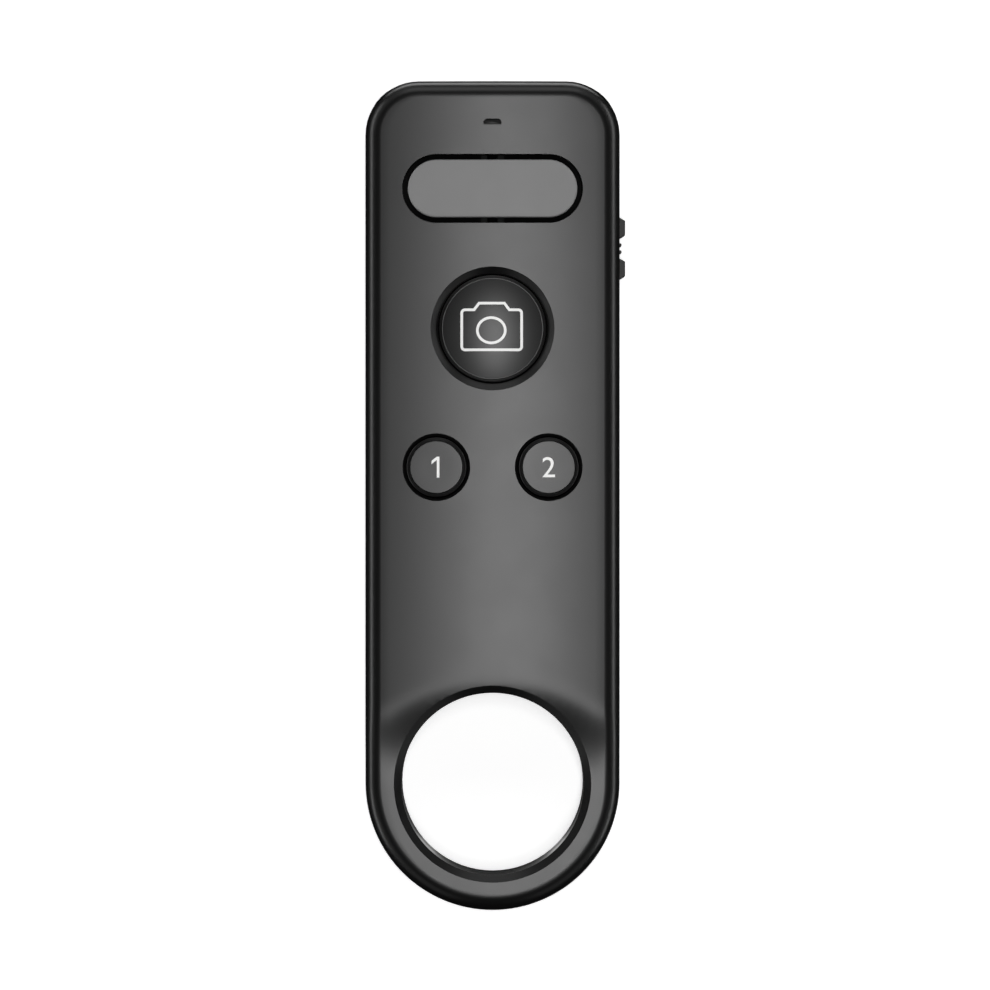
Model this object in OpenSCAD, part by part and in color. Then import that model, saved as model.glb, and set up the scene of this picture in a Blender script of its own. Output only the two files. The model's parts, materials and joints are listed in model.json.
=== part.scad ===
// Handheld wireless camera remote with a finger ring.
// The front face looks to +Z and the remote lies on its rear cover.
// The indicator end is at +Y, the ring at -Y, and the power slider on the +X edge.
// The origin is on the rear face, at the middle of the body's plan.

/* [Body] */
// Width of the body, which is also the outer diameter of the ring
body_w = 30; // [30:0.1:31]
// Overall length of the body
body_l = 97.8; // [97:0.1:102]
// Thickness from the rear face to the front face
body_h = 9.5; // [9.4:0.1:10.2]
// Thickness of the lower ring end
ring_h = 8.1; // [7.8:0.1:8.6]
// Radius of the two top corners in plan
corner_r = 6.3; // [6:0.1:7]
// Wall thickness of both shells
wall = 1.4; // [1.3:0.05:1.5]
// Height of the parting line above the rear face
split_z = 4.5; // [4.3:0.1:4.7]
// Fillet radius along the front edge
front_edge_r = 1.9; // [1.6:0.1:2.3]
// Fillet radius along the rear edge
rear_edge_r = 1.1; // [0.8:0.1:1.3]

/* [Finger ring] */
// Radius of the finger hole
hole_r = 10.75; // [10:0.05:10.9]
// Fillet radius round both mouths of the finger hole
hole_edge_r = 0.9; // [0.5:0.1:1]
// Distance from the ring's centre down to the centre of the ramp's level arcs
ramp_drop = 12.2; // [11:0.1:13]
// Radius of the level arc at the foot of the ramp
ramp_foot_r = 17.5; // [17:0.1:18]
// Radius of the level arc at the head of the ramp
ramp_head_r = 25; // [24.5:0.1:26]

/* [Keys] */
// Distance of the shutter key above the middle of the body
shutter_y = 19.7; // [18.7:0.1:20.7]
// Radius of the shutter key's cap
shutter_r = 6.28; // [6:0.02:6.4]
// Radius of the shutter key's well at the front face
shutter_well_r = 7.3; // [7.1:0.05:7.5]
// Height of the low dome on the shutter key's cap
shutter_crown = 0.5; // [0.2:0.05:0.55]
// Distance of the two small keys above the middle of the body
small_y = 3.4; // [3:0.1:4]
// Distance of each small key from the middle line
small_x = 6.6; // [6.3:0.1:6.9]
// Radius of a small key's cap
small_r = 3.5; // [3.2:0.05:3.6]
// Radius of a small key's well at the front face
small_well_r = 3.98; // [3.9:0.02:4.1]
// Distance of the zoom key above the middle of the body
zoom_y = 36.15; // [35.7:0.05:36.4]
// Length of the zoom key's cap
zoom_l = 19.9; // [19:0.1:20.2]
// Width of the zoom key's cap
zoom_w = 6.75; // [6.4:0.05:6.9]
// Gap round the zoom key's cap
zoom_gap = 0.61; // [0.5:0.01:0.65]
// How far the caps stand above the front face
cap_proud = 0.25; // [0.1:0.05:0.4]
// Running gap between a round cap and its hole
cap_gap = 0.17; // [0.1:0.01:0.2]
// Travel of each round key
key_travel = 0.3; // [0.2:0.05:0.35]

/* [Power slider] */
// Distance of the slider above the middle of the body
slider_y = 29.3; // [28.9:0.05:29.6]
// Length of the slider's knob
slider_l = 7.45; // [7:0.05:7.8]
// Height of the slider's knob
slider_h = 2.8; // [2.4:0.1:3]
// How far the knob's two grips stand out of the edge
slider_proud = 0.68; // [0.5:0.02:0.8]
// Travel of the slider
slider_travel = 2; // [1.6:0.1:2.2]
// Running gap round the knob in its slot
slider_gap = 0.15; // [0.1:0.01:0.2]

/* [Battery] */
// Diameter of the coin cell
cell_d = 20; // [19.8:0.1:20.2]
// Thickness of the coin cell
cell_h = 3.2; // [3:0.05:3.25]
// Distance of the coin cell's centre below the middle of the body
cell_drop = 10.3; // [10.2:0.05:10.6]
// Gap between the cell and its cage
cell_gap = 0.6; // [0.5:0.05:0.7]
// Thickness of the battery door
door_t = 1.2; // [1.1:0.05:1.25]
// Gap round the battery door
door_gap = 0.1; // [0.06:0.01:0.15]
// How far the door lies below the rear face
door_sunk = 0.1; // [0.05:0.01:0.15]
// Reach of the bayonet lugs beyond the door's edge
lug_reach = 1; // [0.8:0.05:1.05]
// Thickness of the bayonet lugs
lug_t = 0.6; // [0.5:0.05:0.65]
// Length of the coin slot in the door
coin_slot_l = 13; // [11:0.5:15]
// Width of the coin slot
coin_slot_w = 1.7; // [1.5:0.1:2]
// Depth of the coin slot
coin_slot_deep = 0.6; // [0.4:0.05:0.7]

/* [Board] */
// Thickness of the circuit board
board_t = 0.8; // [0.7:0.05:0.85]
// Height of the board's underside above the rear face
board_z = 5.2; // [5.15:0.01:5.25]
// Gap between the board and the side walls
board_gap = 0.4; // [0.3:0.05:0.5]
// Height of a snap dome
dome_h = 0.35; // [0.3:0.01:0.38]
// Radius of the shutter key's dome
shutter_dome_r = 3; // [2.7:0.1:3.2]
// Radius of the other domes
small_dome_r = 2; // [1.8:0.1:2.2]
// Thickness of the silicone key mat
mat_t = 0.35; // [0.3:0.01:0.4]

/* [Screws] */
// Radius of a case screw's head
head_r = 1.5; // [1.3:0.05:1.6]
// Radius of a case screw's shank
shank_r = 0.78; // [0.7:0.01:0.85]
// Distance of the upper screws from the middle line
top_screw_x = 9.6; // [9.4:0.1:9.8]
// Distance of the upper screws above the middle of the body
top_screw_y = 44; // [43.8:0.1:44.2]
// Distance of the lower screws from the middle line
low_screw_x = 11.5; // [11.4:0.05:11.55]
// Distance of the lower screws below the middle of the body
low_screw_drop = 24.8; // [24.6:0.1:25]

/* [Hidden] */

// Smoothness of every round shape
$fn = 72;
// Smoothness of the circle that a low dome is a small share of
crown_fn = 360;
// Overrun of every cut past the face that it opens
over = 0.2;

// Plan of the body
half_w = body_w / 2;
top_y = body_l / 2;
ring_y = half_w - body_l / 2;
corner_x = half_w - corner_r;
corner_y = top_y - corner_r;
ramp_y = ring_y - ramp_drop;

// Tongue of the rear shell that locates the front shell
tongue_h = 0.7;
tongue_gap = 0.08;
tongue_root = wall / 2;

// Heights inside the body
ceiling_z = body_h - wall;
board_top = board_z + board_t;
contact_gap = 0.03;
dome_slack_share = 0.1;
mat_z = board_top + (1 + dome_slack_share) * dome_h;
mat_top = mat_z + mat_t;
pad_h = 0.2;
pad_top = mat_top + pad_h;
ramp_steps = 10;
edge_steps = 4;
edge_reach = 1;
ramp_lift = 0.02;

// Caps: flange under the front wall, stem down to the mat, rim and low dome
flange_t = 0.6;
flange_gap = 0.05;
flange_reach = 0.85;
flange_top = ceiling_z - flange_gap;
cap_top = body_h + cap_proud;
collar_gap = 0.15;
collar_t = 0.7;
collar_h = flange_gap + flange_t + key_travel;
tab_w = 1.2;
tab_reach = 0.8;
shutter_stem_r = 2.4;
small_stem_r = 1.4;
well_bevel_h = 0.8;
small_bevel_h = 0.55;
rim_w = 0.45;
small_rim_w = 0.35;
small_rim_h = 0.2;

// Zoom key: plate, two plungers and two trunnions in ears under the front wall
zoom_plate_t = 1.5;
trunnion_r = 0.6;
trunnion_gap = 0.05;
trunnion_z = 7.25;
ear_t = 1;
ear_gap = 0.3;
ear_w = 2.1;
hub_w = 1.6;
plunger_x = 6.4;
plunger_r = 1.1;

// Power slider: knob, plate behind the wall, fork round the switch's lever
grip_share = 0.35;
grip_l = grip_share * slider_l;
grip_slope = 0.45;
rib_l = 0.35;
rib_proud = 0.25;
rib_pitch = 0.82;
slide_plate_t = 0.6;
slide_plate_reach = 0.5;
fork_l = 0.9;
fork_gap = 0.08;
fork_h = 2 * (board_z - split_z - slider_gap);
lever_w = 1.3;
lever_h = 0.8;
lever_l = 1.5;
switch_l = 7.2;
switch_w = 2.6;
switch_h = 1.3;
slot_h = slider_h + 2 * slider_gap;

// Battery compartment
cell_y = -cell_drop;
cell_r = cell_d / 2;
cage_r = cell_r + cell_gap;
door_r = cage_r - door_gap;
door_top = door_sunk + door_t;
lug_z = door_top - lug_t;
lug_arc = 36;
lug_turn = 45;
notch_slack = 4;
lug_gap = 0.1;
lug_count = 3;
cage_t = 0.9;
groove_r = door_r + lug_reach + lug_gap;
cell_rest = 0.05;
cell_z = door_top + cell_rest;
cage_top = split_z - contact_gap;
cell_shoulder = 1.1;
cell_cap_r = cell_r - cell_shoulder;
cell_step = 0.35;
cell_edge = 0.25;
leaf_t = 0.2;
clip_arc = 44;
clip_foot_share = 1 / 3;
clip_z = cell_z + clip_foot_share * cell_h;
clip_clear = 0.25;
spring_l = 6.5;
spring_w = 1.6;
spring_foot_share = 1 / 3;
spring_run_share = 3;

// Screws and their bosses
boss_wall = 0.9;
thread_gap = 0.02;
boss_r = shank_r + boss_wall;
shank_gap = 0.12;
head_h = 0.8;
head_sunk = 0.3;
screw_tip = 0.6;
cross_share = 0.6;
cross_w = 0.35;
cross_deep = 0.45;
screw_places = [
    [-top_screw_x, top_screw_y], [top_screw_x, top_screw_y],
    [-low_screw_x, -low_screw_drop], [low_screw_x, -low_screw_drop]
];

// Ledges that hold the board from below and ribs that hold it from above
ledge_l = 2;
ledge_w = 1.3;
ledge_low_rise = 2.4;
ledge_high_rise = 3.2;
ledge_rows = [small_y + ledge_low_rise, zoom_y + ledge_high_rise];

// Indicator: lamp and light pipe, which end under a thin skin below a shallow notch
lamp_drop = 5;
lamp_y = top_y - lamp_drop;
window_l = 2.15;
window_w = 1;
skin_t = 0.5;
notch_deep = 0.08;
notch_edge = 0.3;
pipe_flange = 0.4;
pipe_gap = 0.04;
lamp_l = 1.6;
lamp_w = 0.8;
lamp_h = 0.6;

// Height of the front surface at a distance from the ramp's centre
function ramp_share(r) =
    let (s = min(1, max(0, (r - ramp_foot_r) / (ramp_head_r - ramp_foot_r)))) s * s * (3 - 2 * s);
function front_z(p, top = body_h, low = ring_h) =
    low + (top - low) * ramp_share(norm([p[0], p[1] - ramp_y]));

// Plan outline of the body, drawn in by a distance
module outline(inset = 0) {
    translate([0, ring_y]) circle(r = half_w - inset);
    translate([inset - half_w, ring_y]) square([body_w - 2 * inset, corner_y - ring_y]);
    for (side = [-1, 1])
        translate([side * corner_x, corner_y]) circle(r = corner_r - inset);
    translate([-corner_x, corner_y]) square([2 * corner_x, corner_r - inset]);
}

// Section of an edge with a fillet, from the axis out to a radius
module edge_section(r, h, fillet) {
    square([r - fillet, h]);
    square([r, h - fillet]);
    translate([r - fillet, h - fillet]) intersection() {
        circle(r = fillet);
        square(fillet);
    }
}

// Block of the body's plan with a filleted top edge
module filleted_block(h, fillet) {
    translate([0, ring_y, 0])
        rotate_extrude(angle = 180, start = 180) edge_section(half_w, h, fillet);
    translate([0, corner_y, 0]) rotate([90, 0, 0]) linear_extrude(corner_y - ring_y) {
        edge_section(half_w, h, fillet);
        mirror([1, 0]) edge_section(half_w, h, fillet);
    }
    translate([corner_x, corner_y, 0])
        rotate_extrude(angle = 90) edge_section(corner_r, h, fillet);
    translate([-corner_x, corner_y, 0])
        rotate_extrude(angle = 90, start = 90) edge_section(corner_r, h, fillet);
    translate([-corner_x, corner_y, 0]) rotate([90, 0, 90])
        linear_extrude(2 * corner_x) edge_section(corner_r, h, fillet);
}

// Solid under the ramp and everything above it along the body
module ramp_solid(base, low, top) {
    slope = [for (i = [0:ramp_steps])
        let (r = ramp_foot_r + (ramp_head_r - ramp_foot_r) * i / ramp_steps)
        [r, low + (top - low) * ramp_share(r) + ramp_lift * i / ramp_steps]];
    translate([0, ramp_y, 0]) rotate_extrude() polygon(concat(
        [[ramp_foot_r, base]], slope,
        [[body_l + body_w, top + over], [body_l + body_w, base]]));
}

// Swept cutter that rounds an edge: each station is [point, outward direction].
// Its first and last facets run on past the arc, so that they cross the faces cleanly.
function unit(v) = v / norm(v);
function edge_slope(station, fillet) =
    (front_z(station[0]) - front_z(station[0] - fillet * station[1])) / fillet;
function edge_ring(station, fillet) =
    let (
        slope = edge_slope(station, fillet),
        tilt = atan(slope),
        centre_z = front_z(station[0]) - slope * fillet - fillet / cos(tilt),
        arc = [for (i = [0:edge_steps])
            let (a = (90 + tilt) * i / edge_steps)
            [fillet * (cos(a) - 1), centre_z + fillet * sin(a)]],
        foot = arc[0] + edge_reach * unit(arc[0] - arc[1]),
        peak = arc[edge_steps] + edge_reach * unit(arc[edge_steps] - arc[edge_steps - 1]),
        outer_x = foot[0] + edge_reach,
        outer_z = body_h + edge_reach,
        section = concat([foot], [for (i = [1:edge_steps - 1]) arc[i]],
            [peak, [peak[0], outer_z], [outer_x, outer_z], [outer_x, foot[1]]])
    )
    [for (q = section) [
        station[0][0] + q[0] * station[1][0], station[0][1] + q[0] * station[1][1], q[1]]];

module edge_cutter(stations, fillet) {
    rings = [for (s = stations) edge_ring(s, fillet)];
    count = len(rings);
    m = len(rings[0]);
    sides = [for (i = [0:count - 1], j = [0:m - 1])
        let (a = i * m, b = ((i + 1) % count) * m, k = (j + 1) % m)
        each [[a + j, a + k, b + j], [a + k, b + k, b + j]]];
    polyhedron(points = [for (r = rings) each r], faces = sides);
}

// Stations round the finger hole, with the outward direction towards its centre
hole_steps = 40;
hole_rim = [for (i = [0:hole_steps - 1])
    let (a = -360 * i / hole_steps)
    [[hole_r * cos(a), ring_y + hole_r * sin(a)], [-cos(a), -sin(a)]]];

// Section of the cut that rounds the rear mouth of the finger hole
module hole_mouth() {
    translate([0, ring_y, 0]) rotate_extrude() difference() {
        translate([0, -over]) square([hole_r + hole_edge_r, hole_edge_r + over]);
        translate([hole_r + hole_edge_r, hole_edge_r]) circle(r = hole_edge_r);
    }
}

module front_outer() {
    translate([0, 0, split_z]) filleted_block(ring_h - split_z, front_edge_r);
    intersection() {
        translate([0, 0, split_z]) filleted_block(body_h - split_z, front_edge_r);
        ramp_solid(split_z - over, ring_h, body_h);
    }
}

// Room inside the front shell, one wall below its outer surface
module front_room() {
    translate([0, 0, split_z - over]) linear_extrude(ring_h - wall - split_z + over)
        room_plan();
    intersection() {
        translate([0, 0, split_z - over]) linear_extrude(ceiling_z - split_z + over)
            room_plan();
        ramp_solid(split_z - 2 * over, ring_h - wall, ceiling_z);
    }
}

// Plan of the room inside the shells, round the wall of the finger hole
module room_plan() {
    difference() {
        outline(wall);
        translate([0, ring_y]) circle(r = hole_r + wall);
    }
}

// Round well for a cap: bevelled mouth and a plain hole through the wall
module cap_well(x, y, mouth_r, bore_r, bevel_h) {
    translate([x, y, ceiling_z - over]) cylinder(r = bore_r, h = wall + 2 * over);
    translate([x, y, body_h - bevel_h]) cylinder(r1 = bore_r, r2 = mouth_r, h = bevel_h);
    translate([x, y, body_h]) cylinder(r = mouth_r, h = over);
}

// Collar under the front wall that guides a cap's flange, with a slot for its tab
module cap_collar(x, y, flange_r) {
    translate([x, y, ceiling_z - collar_h]) difference() {
        cylinder(r = flange_r + collar_gap + collar_t, h = collar_h + over);
        translate([0, 0, -over]) cylinder(r = flange_r + collar_gap, h = collar_h + 3 * over);
        translate([-tab_w / 2 - collar_gap, -flange_r - collar_gap - collar_t - over, -over])
            cube([tab_w + 2 * collar_gap, flange_r, collar_h + over]);
    }
}

// Pill-shaped plan
module pill(l, w) {
    square([l - w, w], center = true);
    for (side = [-1, 1])
        translate([side * (l - w) / 2, 0]) circle(d = w);
}

// Ears that carry the zoom key's trunnions
ear_y = zoom_w / 2 + zoom_gap + ear_gap;
module zoom_ear(side) {
    low = trunnion_z - ear_w / 2;
    translate([0, zoom_y + side * (ear_y + ear_t / 2), 0]) rotate([90, 0, 0])
        linear_extrude(ear_t, center = true) difference() {
            union() {
                translate([0, trunnion_z]) circle(d = ear_w);
                translate([-ear_w / 2, trunnion_z])
                    square([ear_w, ceiling_z + over - trunnion_z]);
            }
            translate([0, trunnion_z]) circle(r = trunnion_r + trunnion_gap);
        }
}

// Slot in the side wall for the power slider's knob
module slider_slot() {
    long = slider_l + slider_travel + 2 * slider_gap;
    translate([half_w - wall - over, slider_y - slider_travel - slider_l / 2 - slider_gap,
        split_z - slot_h / 2])
        cube([wall + 2 * over, long, slot_h]);
}

// Pocket for the light pipe and, above its thin skin, a notch that deepens to its upper side
module window_cut() {
    translate([0, lamp_y, ceiling_z - over]) linear_extrude(wall - skin_t + over)
        pill(window_l, window_w);
    hull() {
        translate([0, lamp_y + (window_w - notch_edge) / 2, body_h - notch_deep])
            linear_extrude(notch_deep + over) pill(window_l, notch_edge);
        translate([0, lamp_y - window_w / 2, body_h]) linear_extrude(over)
            square([window_l, notch_edge], center = true);
    }
}

// Outer form of the front shell with the finger hole and its rounded mouth
module front_holed() {
    difference() {
        difference() {
            front_outer();
            translate([0, ring_y, split_z - over]) cylinder(r = hole_r, h = body_h);
        }
        edge_cutter(hole_rim, hole_edge_r);
    }
}

// Hollow skin, with a rebate for the rear shell's tongue
module front_skin() {
    difference() {
        difference() {
            front_holed();
            front_room();
        }
        translate([0, 0, split_z - over]) linear_extrude(tongue_h + tongue_gap + over)
            difference() {
                outline(tongue_root);
                outline(wall + over);
            }
    }
}

module front_shell() color("#3f3f41") {
    difference() {
        union() {
            front_skin();
            front_fittings();
        }
        cap_well(0, shutter_y, shutter_well_r, shutter_r + cap_gap, well_bevel_h);
        for (side = [-1, 1])
            cap_well(side * small_x, small_y, small_well_r, small_r + cap_gap, small_bevel_h);
        translate([0, zoom_y, ceiling_z - over]) linear_extrude(wall + 2 * over)
            pill(zoom_l + 2 * zoom_gap, zoom_w + 2 * zoom_gap);
        for (p = screw_places)
            translate([p[0], p[1], split_z - over])
                cylinder(r = shank_r + thread_gap, h = ceiling_z - split_z - screw_tip + over);
        window_cut();
        slider_slot();
    }
}

// Bosses, collars, ears and ribs under the front wall
module front_fittings() {
    for (p = screw_places)
        translate([p[0], p[1], split_z]) cylinder(r = boss_r, h = ceiling_z - split_z + over);
    cap_collar(0, shutter_y, shutter_r + flange_reach);
    for (side = [-1, 1]) {
        cap_collar(side * small_x, small_y, small_r + flange_reach);
        zoom_ear(side);
        for (y = ledge_rows)
            translate([side * (half_w - wall - ledge_w / 2), y, board_top + contact_gap])
                linear_extrude(ceiling_z - board_top - contact_gap + over)
                    square([ledge_w + over, ledge_l], center = true);
    }
}

// Rear shell: tray, finger hole, battery opening, cage, bosses and ledges
module rear_shell() color("#2b2b2d") {
    difference() {
        union() {
            difference() {
                translate([0, 0, split_z]) mirror([0, 0, 1])
                    filleted_block(split_z, rear_edge_r);
                translate([0, 0, wall]) linear_extrude(split_z) room_plan();
            }
            translate([0, 0, split_z - over]) linear_extrude(tongue_h + over) difference() {
                outline(tongue_root + tongue_gap);
                outline(wall);
            }
            translate([0, cell_y, wall / 2])
                cylinder(r = groove_r + cage_t, h = cage_top - wall / 2);
            for (p = screw_places)
                translate([p[0], p[1], wall / 2]) cylinder(r = head_r + boss_wall / 2,
                    h = split_z - wall / 2 - contact_gap);
            for (side = [-1, 1], y = ledge_rows)
                translate([side * (half_w - wall - ledge_w / 2), y, wall / 2])
                    linear_extrude(board_z - wall / 2 - contact_gap)
                        square([ledge_w, ledge_l], center = true);
        }
        translate([0, ring_y, -over]) cylinder(r = hole_r, h = body_h);
        hole_mouth();
        battery_opening();
        for (p = screw_places) {
            translate([p[0], p[1], -over]) cylinder(r = shank_r + shank_gap, h = body_h);
            translate([p[0], p[1], -over])
                cylinder(r = head_r + shank_gap, h = head_sunk + head_h + over);
        }
        slider_slot();
    }
}

// Opening for the door, groove for its lugs and notches that let them in
module battery_opening() {
    translate([0, cell_y, -over]) cylinder(r = cage_r, h = body_h);
    translate([0, cell_y, lug_z - lug_gap])
        cylinder(r = groove_r, h = lug_t + 2 * lug_gap);
    for (i = [0:lug_count - 1])
        translate([0, cell_y, -over])
            rotate_extrude(angle = lug_arc + notch_slack,
                start = 360 / lug_count * i - lug_turn - notch_slack / 2)
                square([groove_r, lug_z + over]);
    clip_w = 2 * cage_r * sin(clip_arc / 2);
    translate([-clip_w / 2 - contact_gap, cell_y, clip_z - clip_clear])
        cube([clip_w + 2 * contact_gap, groove_r + cage_t + over, body_h]);
}

// Round key cap with a stem and a flange, whose tab stops the cap turning
module round_cap(x, y, r, stem_r, top) {
    flange_r = r + flange_reach;
    translate([x, y, 0]) {
        translate([0, 0, flange_top - flange_t]) cylinder(r = flange_r, h = flange_t);
        translate([0, 0, flange_top - flange_t / 2]) cylinder(r = r, h = top - flange_top
            + flange_t / 2);
        translate([0, 0, pad_top]) cylinder(r = stem_r, h = flange_top - pad_top
            - flange_t / 2);
        translate([-tab_w / 2, -flange_r - tab_reach, flange_top - flange_t])
            cube([tab_w, flange_r, flange_t]);
    }
}

// Large cap: a low dome inside a flat rim
module shutter_cap() color("#47474a") {
    dome_r = shutter_r - rim_w;
    ball_r = (pow(dome_r, 2) + pow(shutter_crown, 2)) / (2 * shutter_crown);
    round_cap(0, shutter_y, shutter_r, shutter_stem_r, cap_top - shutter_crown);
    translate([0, shutter_y, 0]) rotate_extrude() intersection() {
        translate([0, flange_top]) square([dome_r, cap_top - flange_top]);
        translate([0, cap_top - ball_r]) circle(r = ball_r, $fn = crown_fn);
    }
}

module small_cap(side) {
    difference() {
        round_cap(side * small_x, small_y, small_r, small_stem_r, cap_top);
        translate([side * small_x, small_y, cap_top - small_rim_h]) difference() {
            cylinder(r = small_r + over, h = small_rim_h + over);
            cylinder(r1 = small_r, r2 = small_r - small_rim_w, h = small_rim_h);
        }
    }
}

module left_cap() color("#505052") small_cap(-1);
module right_cap() color("#505052") small_cap(1);

// Zoom key that rocks on two trunnions and presses a dome at each end
module zoom_bar() color("#5b5b5e") {
    plate_z = cap_top - zoom_plate_t;
    translate([0, zoom_y, plate_z]) linear_extrude(zoom_plate_t) pill(zoom_l, zoom_w);
    for (side = [-1, 1])
        translate([side * plunger_x, zoom_y, pad_top])
            cylinder(r = plunger_r, h = plate_z - pad_top + zoom_plate_t / 2);
    translate([-hub_w / 2, zoom_y - zoom_w / 2, trunnion_z])
        cube([hub_w, zoom_w, plate_z - trunnion_z + zoom_plate_t / 2]);
    translate([0, zoom_y, trunnion_z]) rotate([90, 0, 0])
        cylinder(r = trunnion_r, h = 2 * (ear_y + ear_t), center = true);
}

// Silicone mat: web over the board, rim that stands on it, pads under the keys
mat_rim = 0.8;
mat_half_w = small_x + small_r + mat_rim;
mat_low_y = small_y - small_r - mat_rim;
mat_gap = 0.3;
mat_high_y = zoom_y + zoom_w / 2 + zoom_gap + mat_rim;
mat_slot_y = zoom_y - ear_y - ear_t - mat_gap;
module mat_plan(inset) {
    difference() {
        translate([inset - mat_half_w, mat_low_y + inset])
            square([2 * (mat_half_w - inset), mat_high_y - mat_low_y - 2 * inset]);
        translate([-ear_w / 2 - mat_gap - inset, mat_slot_y - inset])
            square([ear_w + 2 * (mat_gap + inset), mat_high_y - mat_slot_y + inset + over]);
    }
}

module key_mat() color("#1c1c1e") {
    translate([0, 0, mat_z]) linear_extrude(mat_t) mat_plan(0);
    translate([0, 0, board_top]) linear_extrude(mat_z - board_top) difference() {
        mat_plan(0);
        mat_plan(mat_rim);
    }
    translate([0, shutter_y, mat_z]) cylinder(r = shutter_stem_r, h = pad_top - mat_z);
    for (side = [-1, 1]) {
        translate([side * small_x, small_y, mat_z])
            cylinder(r = small_stem_r, h = pad_top - mat_z);
        translate([side * plunger_x, zoom_y, mat_z])
            cylinder(r = plunger_r, h = pad_top - mat_z);
    }
}

// Snap dome: thin pressed disc with a sloping skirt
dome_sheet_share = 0.2;
dome_crown_share = 0.45;
module dome(x, y, r) {
    sheet = dome_sheet_share * dome_h;
    crown_r = dome_crown_share * r;
    translate([x, y, board_top]) rotate_extrude() polygon([
        [0, dome_h - sheet], [crown_r, dome_h - sheet], [r - sheet, 0],
        [r, 0], [r, sheet], [crown_r, dome_h], [0, dome_h]]);
}

module shutter_dome() color("#c9ccd0") dome(0, shutter_y, shutter_dome_r);
module left_dome() color("#c9ccd0") dome(-small_x, small_y, small_dome_r);
module right_dome() color("#c9ccd0") dome(small_x, small_y, small_dome_r);
module zoom_out_dome() color("#c9ccd0") dome(-plunger_x, zoom_y, small_dome_r);
module zoom_in_dome() color("#c9ccd0") dome(plunger_x, zoom_y, small_dome_r);

// Clear pipe that carries the lamp's light up to the thin skin
module light_pipe() color("#d8dde0") {
    translate([0, lamp_y, board_top + lamp_h + contact_gap])
        linear_extrude(body_h - skin_t - board_top - lamp_h - 2 * contact_gap)
            pill(window_l - 2 * pipe_gap, window_w - 2 * pipe_gap);
    translate([0, lamp_y, ceiling_z - flange_t - contact_gap]) linear_extrude(flange_t)
        pill(window_l + 2 * pipe_flange, window_w + 2 * pipe_flange);
}

module indicator_led() color("#f4f1dc") {
    translate([0, lamp_y, board_top + lamp_h / 2])
        cube([lamp_l, lamp_w, lamp_h], center = true);
}

// Board with clearances for the bosses, the slider and the ring's wall
module circuit_board() color("#16241c") {
    low_y = ring_y + hole_r + wall + board_gap;
    notch_l = slider_l + slider_travel + 2 * slide_plate_reach + 4 * board_gap;
    notch_w = half_w - slide_x + fork_l + board_gap;
    translate([0, 0, board_z]) linear_extrude(board_t) difference() {
        intersection() {
            outline(wall + board_gap);
            translate([-half_w, low_y]) square([body_w, body_l]);
        }
        for (p = screw_places)
            translate(p) circle(r = head_r + boss_wall / 2 + board_gap);
        translate([half_w - notch_w, slider_y - slider_travel / 2 - notch_l / 2])
            square([notch_w, notch_l]);
    }
}

// Parts soldered to the board's upper face, over the battery
chip_y = cell_y + cell_r / 2;
chip_w = 5;
chip_h = 0.85;
module radio_chip() color("#1a1a1c") {
    translate([-chip_w / 2, chip_y - chip_w / 2, board_top]) cube([chip_w, chip_w, chip_h]);
}

crystal_l = 3.2;
crystal_w = 2.5;
crystal_h = 0.7;
module crystal() color("#b9bcc0") {
    translate([chip_w, chip_y - crystal_l / 2, board_top]) cube([crystal_w, crystal_l, crystal_h]);
}

antenna_l = 3.2;
antenna_w = 1.6;
antenna_h = 1.1;
module chip_antenna() color("#8fb4c9") {
    translate([lamp_l + antenna_w, top_y - wall - board_gap - 2 * antenna_w, board_top])
        cube([antenna_l, antenna_w, antenna_h]);
}

// Small capacitors and resistors in two rows beside the chip
bit_l = 1;
bit_w = 0.5;
bit_pitch = 1.25;
bit_count = 4;
module chip_parts() color("#b79a6a") {
    for (side = [-1, 1], i = [0:bit_count - 1])
        translate([(i - (bit_count - 1) / 2) * bit_pitch - bit_w / 2,
            chip_y + side * (chip_w / 2 + bit_l) - bit_l / 2, board_top])
            cube([bit_w, bit_l, bit_w]);
}

// Slide switch on the board's underside, with its lever towards the edge
slide_x = half_w - wall - slide_plate_t - slider_gap;
switch_x = slide_x - fork_l - switch_w - slider_gap;
lever_mid_z = split_z;
switch_mid_y = slider_y - slider_travel / 2;
module switch_housing() color("#a9abad") {
    slot_l = slider_travel + lever_w + 2 * fork_gap;
    difference() {
        translate([switch_x, switch_mid_y - switch_l / 2, board_z - switch_h])
            cube([switch_w, switch_l, switch_h]);
        translate([switch_x + switch_w - lever_l / 2 - fork_gap, switch_mid_y - slot_l / 2,
            lever_mid_z - lever_h / 2 - fork_gap])
            cube([lever_l, slot_l, lever_h + 2 * fork_gap]);
    }
}

module switch_lever() color("#17171a") {
    translate([switch_x + switch_w - lever_l / 2, slider_y - lever_w / 2,
        lever_mid_z - lever_h / 2])
        cube([lever_l, lever_w, lever_h]);
}

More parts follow.
